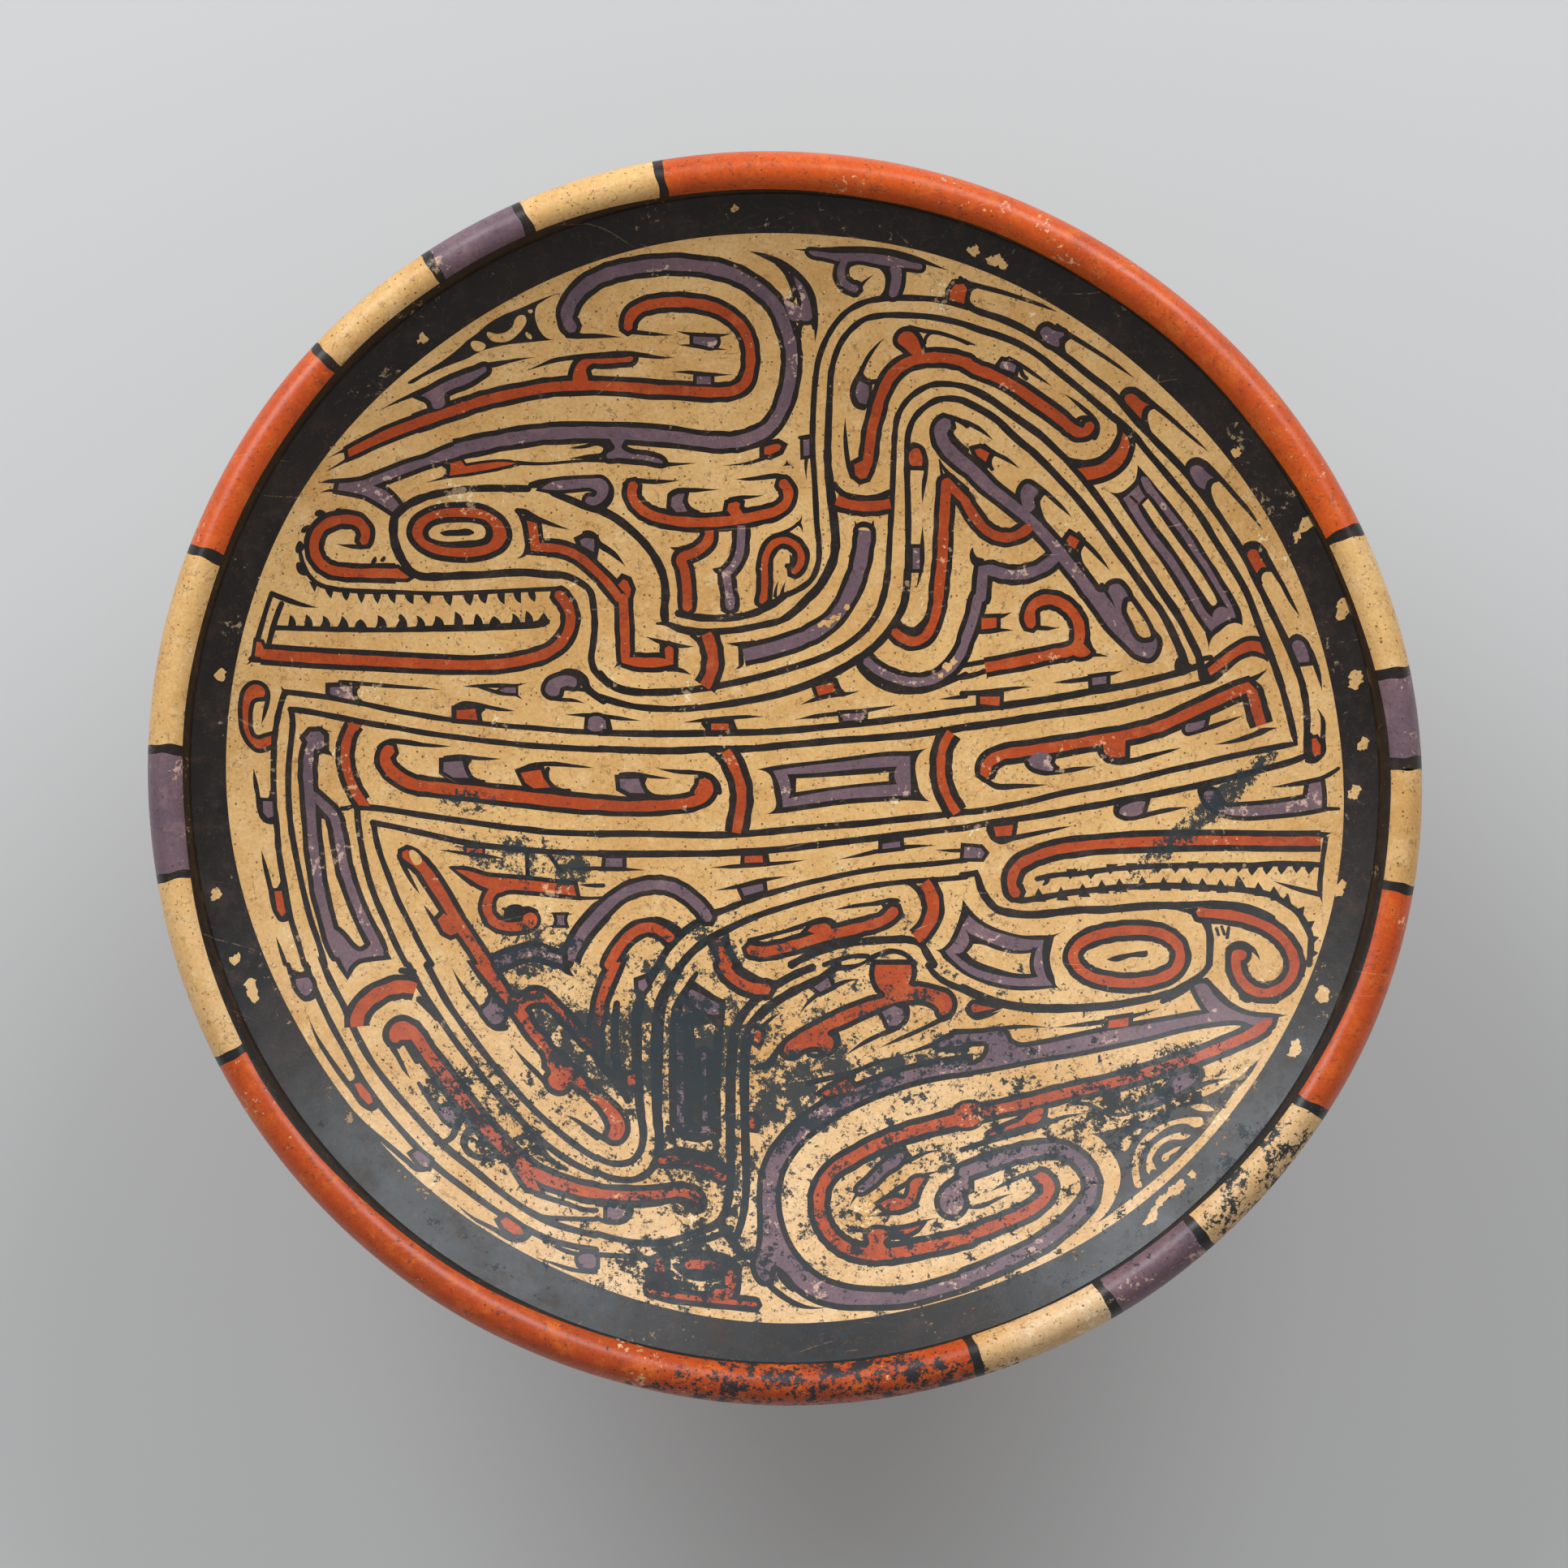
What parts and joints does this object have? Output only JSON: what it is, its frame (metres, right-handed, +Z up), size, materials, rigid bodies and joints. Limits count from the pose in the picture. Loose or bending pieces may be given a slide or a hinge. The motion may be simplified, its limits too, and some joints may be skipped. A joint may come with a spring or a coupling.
{
  "type": "pedestal bowl",
  "caption": "Wide shallow painted bowl with a thick rounded lip, luted to a flared hollow pedestal with a coiled foot ring.",
  "frame": {"origin": "middle of the flat face under the foot ring, on the surface that the bowl stands on", "axes": "+Z up along the pedestal's axis to the open mouth; +Y is the top of the painted design as the picture shows it, +X its right"},
  "size_m": [0.2922, 0.2878, 0.14],
  "materials": {
    "cream_slip": "burnished cream slip over fired clay",
    "orange_red_slip": "burnished orange-red slip, glossy",
    "brown_red_slip": "burnished brown-red slip, satin",
    "black_slip": "brush-painted black slip, burnished",
    "purple_slip": "brush-painted purple slip, burnished",
    "red_slip": "brush-painted red slip, burnished"
  },
  "bodies": {
    "root": {"floor_pad": "cream_slip", "wall_coil": "cream_slip", "rim_coil": "orange_red_slip", "outer_luting_coil": "brown_red_slip", "inner_luting_coil": "brown_red_slip", "pedestal_stem": "brown_red_slip", "foot_coil": "brown_red_slip"}
  },
  "joints": []
}
